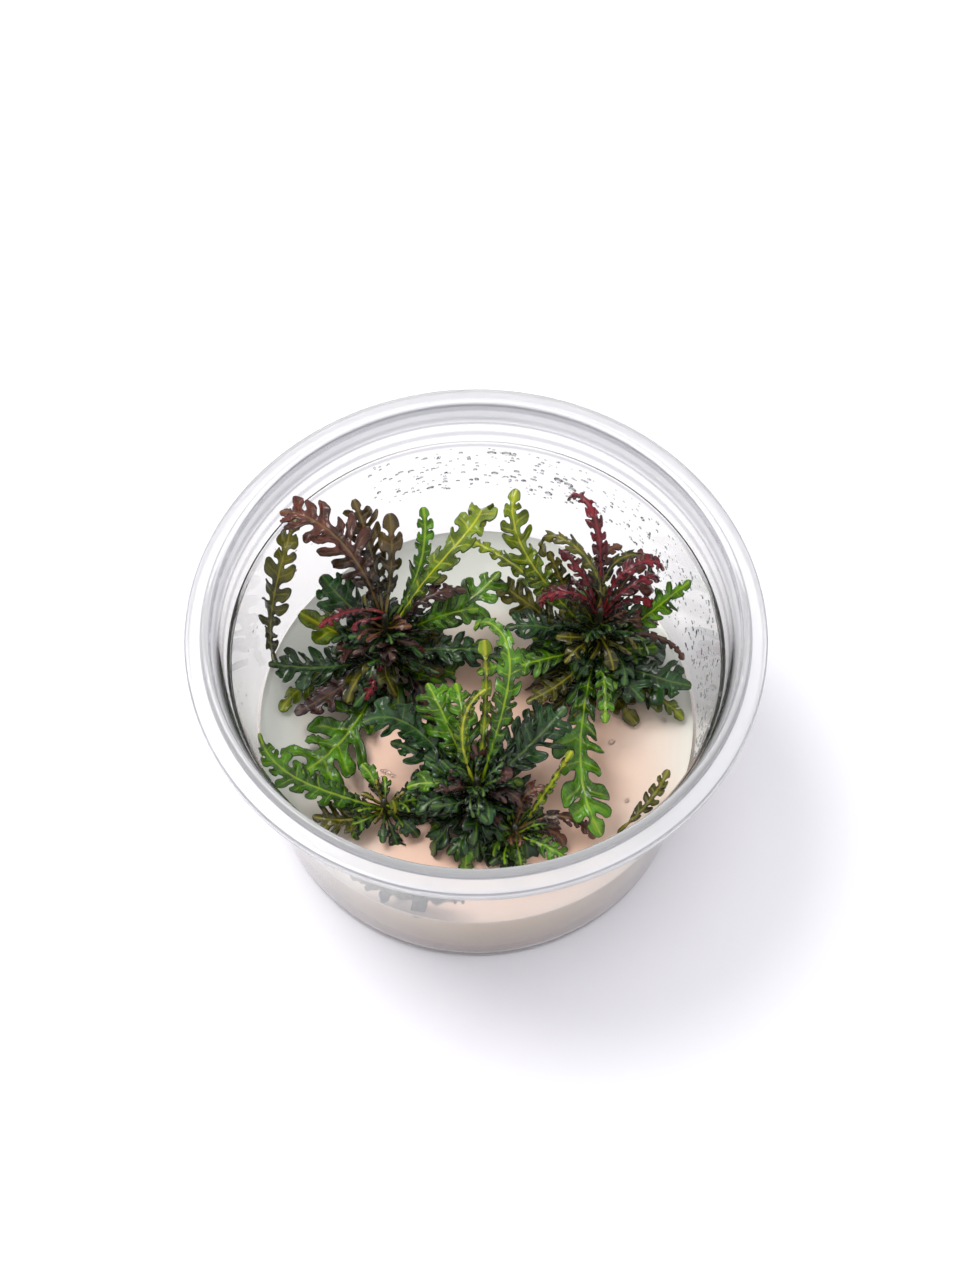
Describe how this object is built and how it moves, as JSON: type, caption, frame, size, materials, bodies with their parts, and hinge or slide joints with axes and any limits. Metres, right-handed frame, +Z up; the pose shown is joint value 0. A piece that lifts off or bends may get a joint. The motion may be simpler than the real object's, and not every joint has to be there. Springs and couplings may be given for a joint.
{
  "type": "hygrophila pinnatifida tissue culture cup",
  "caption": "Round clear plastic tub with a layer of nutrient gel and aquarium plantlets with lobed green, brown and red leaves growing on it.",
  "frame": {"origin": "middle of the tub's underside, on the surface it stands on", "axes": "+Z up along the tub's axis, +Y away from the side the picture was taken from, +X to the right there"},
  "size_m": [0.117, 0.117, 0.0715],
  "materials": {
    "clear_plastic": "clear, a little milky",
    "gel": "wet, cloudy",
    "stem": "matt",
    "brown_leaf": "waxy, wet",
    "crimson_leaf": "waxy, wet",
    "purple_leaf": "waxy, wet",
    "olive_leaf": "waxy, wet",
    "lime_leaf": "waxy, wet",
    "green_leaf": "waxy, wet",
    "dark_leaf": "waxy, wet"
  },
  "bodies": {
    "root": {"cup": "clear_plastic", "gel": "gel", "left_stem": "stem", "right_stem": "stem", "front_stem": "stem", "side_stem": "stem", "corner_stem": "stem", "left_leaf_01": "brown_leaf", "left_leaf_02": "brown_leaf", "left_leaf_03": "brown_leaf", "left_leaf_04": "lime_leaf", "left_leaf_05": "lime_leaf", "left_leaf_06": "crimson_leaf", "left_leaf_07": "purple_leaf", "left_leaf_08": "dark_leaf", "left_leaf_09": "lime_leaf", "left_leaf_10": "green_leaf", "left_leaf_11": "crimson_leaf", "left_leaf_12": "purple_leaf", "left_leaf_13": "purple_leaf", "left_leaf_14": "green_leaf", "left_leaf_15": "lime_leaf", "left_leaf_16": "green_leaf", "left_leaf_17": "dark_leaf", "right_leaf_01": "lime_leaf", "right_leaf_02": "crimson_leaf", "right_leaf_03": "lime_leaf", "right_leaf_04": "olive_leaf", "right_leaf_05": "olive_leaf", "right_leaf_06": "brown_leaf", "right_leaf_07": "olive_leaf", "right_leaf_08": "olive_leaf", "right_leaf_09": "lime_leaf", "right_leaf_10": "dark_leaf", "right_leaf_11": "lime_leaf", "right_leaf_12": "green_leaf", "right_leaf_13": "green_leaf", "right_leaf_14": "olive_leaf", "right_leaf_15": "brown_leaf", "right_leaf_16": "olive_leaf", "right_leaf_17": "crimson_leaf", "right_leaf_18": "green_leaf", "right_leaf_19": "green_leaf", "right_leaf_20": "olive_leaf", "front_leaf_01": "lime_leaf", "front_leaf_02": "green_leaf", "front_leaf_03": "lime_leaf", "front_leaf_04": "dark_leaf", "front_leaf_05": "dark_leaf", "front_leaf_06": "green_leaf", "front_leaf_07": "dark_leaf", "side_leaf_01": "lime_leaf", "side_leaf_02": "brown_leaf", "side_leaf_03": "brown_leaf", "corner_leaf_01": "green_leaf", "corner_leaf_02": "olive_leaf", "corner_leaf_03": "green_leaf", "wall_leaf_01": "olive_leaf", "wall_leaf_02": "olive_leaf", "wall_leaf_03": "dark_leaf"}
  },
  "joints": []
}
